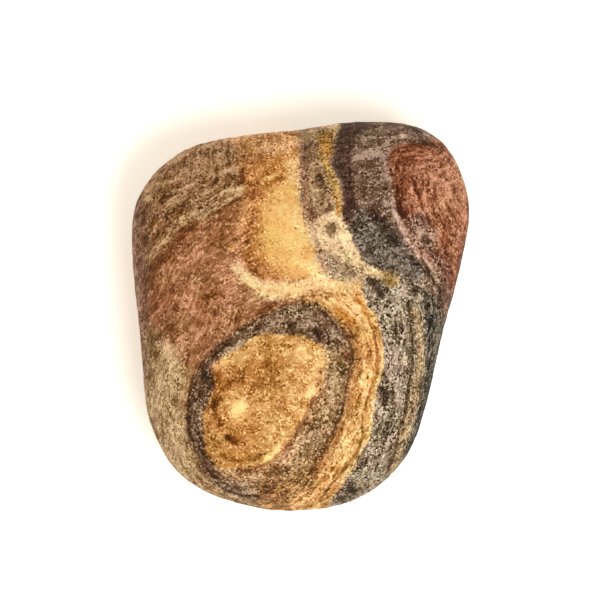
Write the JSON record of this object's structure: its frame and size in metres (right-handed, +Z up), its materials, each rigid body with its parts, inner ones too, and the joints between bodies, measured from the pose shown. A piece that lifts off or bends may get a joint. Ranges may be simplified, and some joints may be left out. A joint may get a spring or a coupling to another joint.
{
  "type": "river pebble",
  "caption": "Water-worn pebble of banded sandstone: a rounded wedge outline, a gently domed face with a ringed oval marking, and a small worn flat to rest on.",
  "frame": {"origin": "on the surface that the pebble rests on, under the middle of its box", "axes": "+Z up out of the ringed face, +Y along the length towards the end with the round lobe, +X across the width towards the side that the lobe is on"},
  "size_m": [0.05, 0.0578, 0.0322],
  "materials": {
    "stone": "matte"
  },
  "bodies": {
    "root": {"pebble": "stone"}
  },
  "joints": []
}
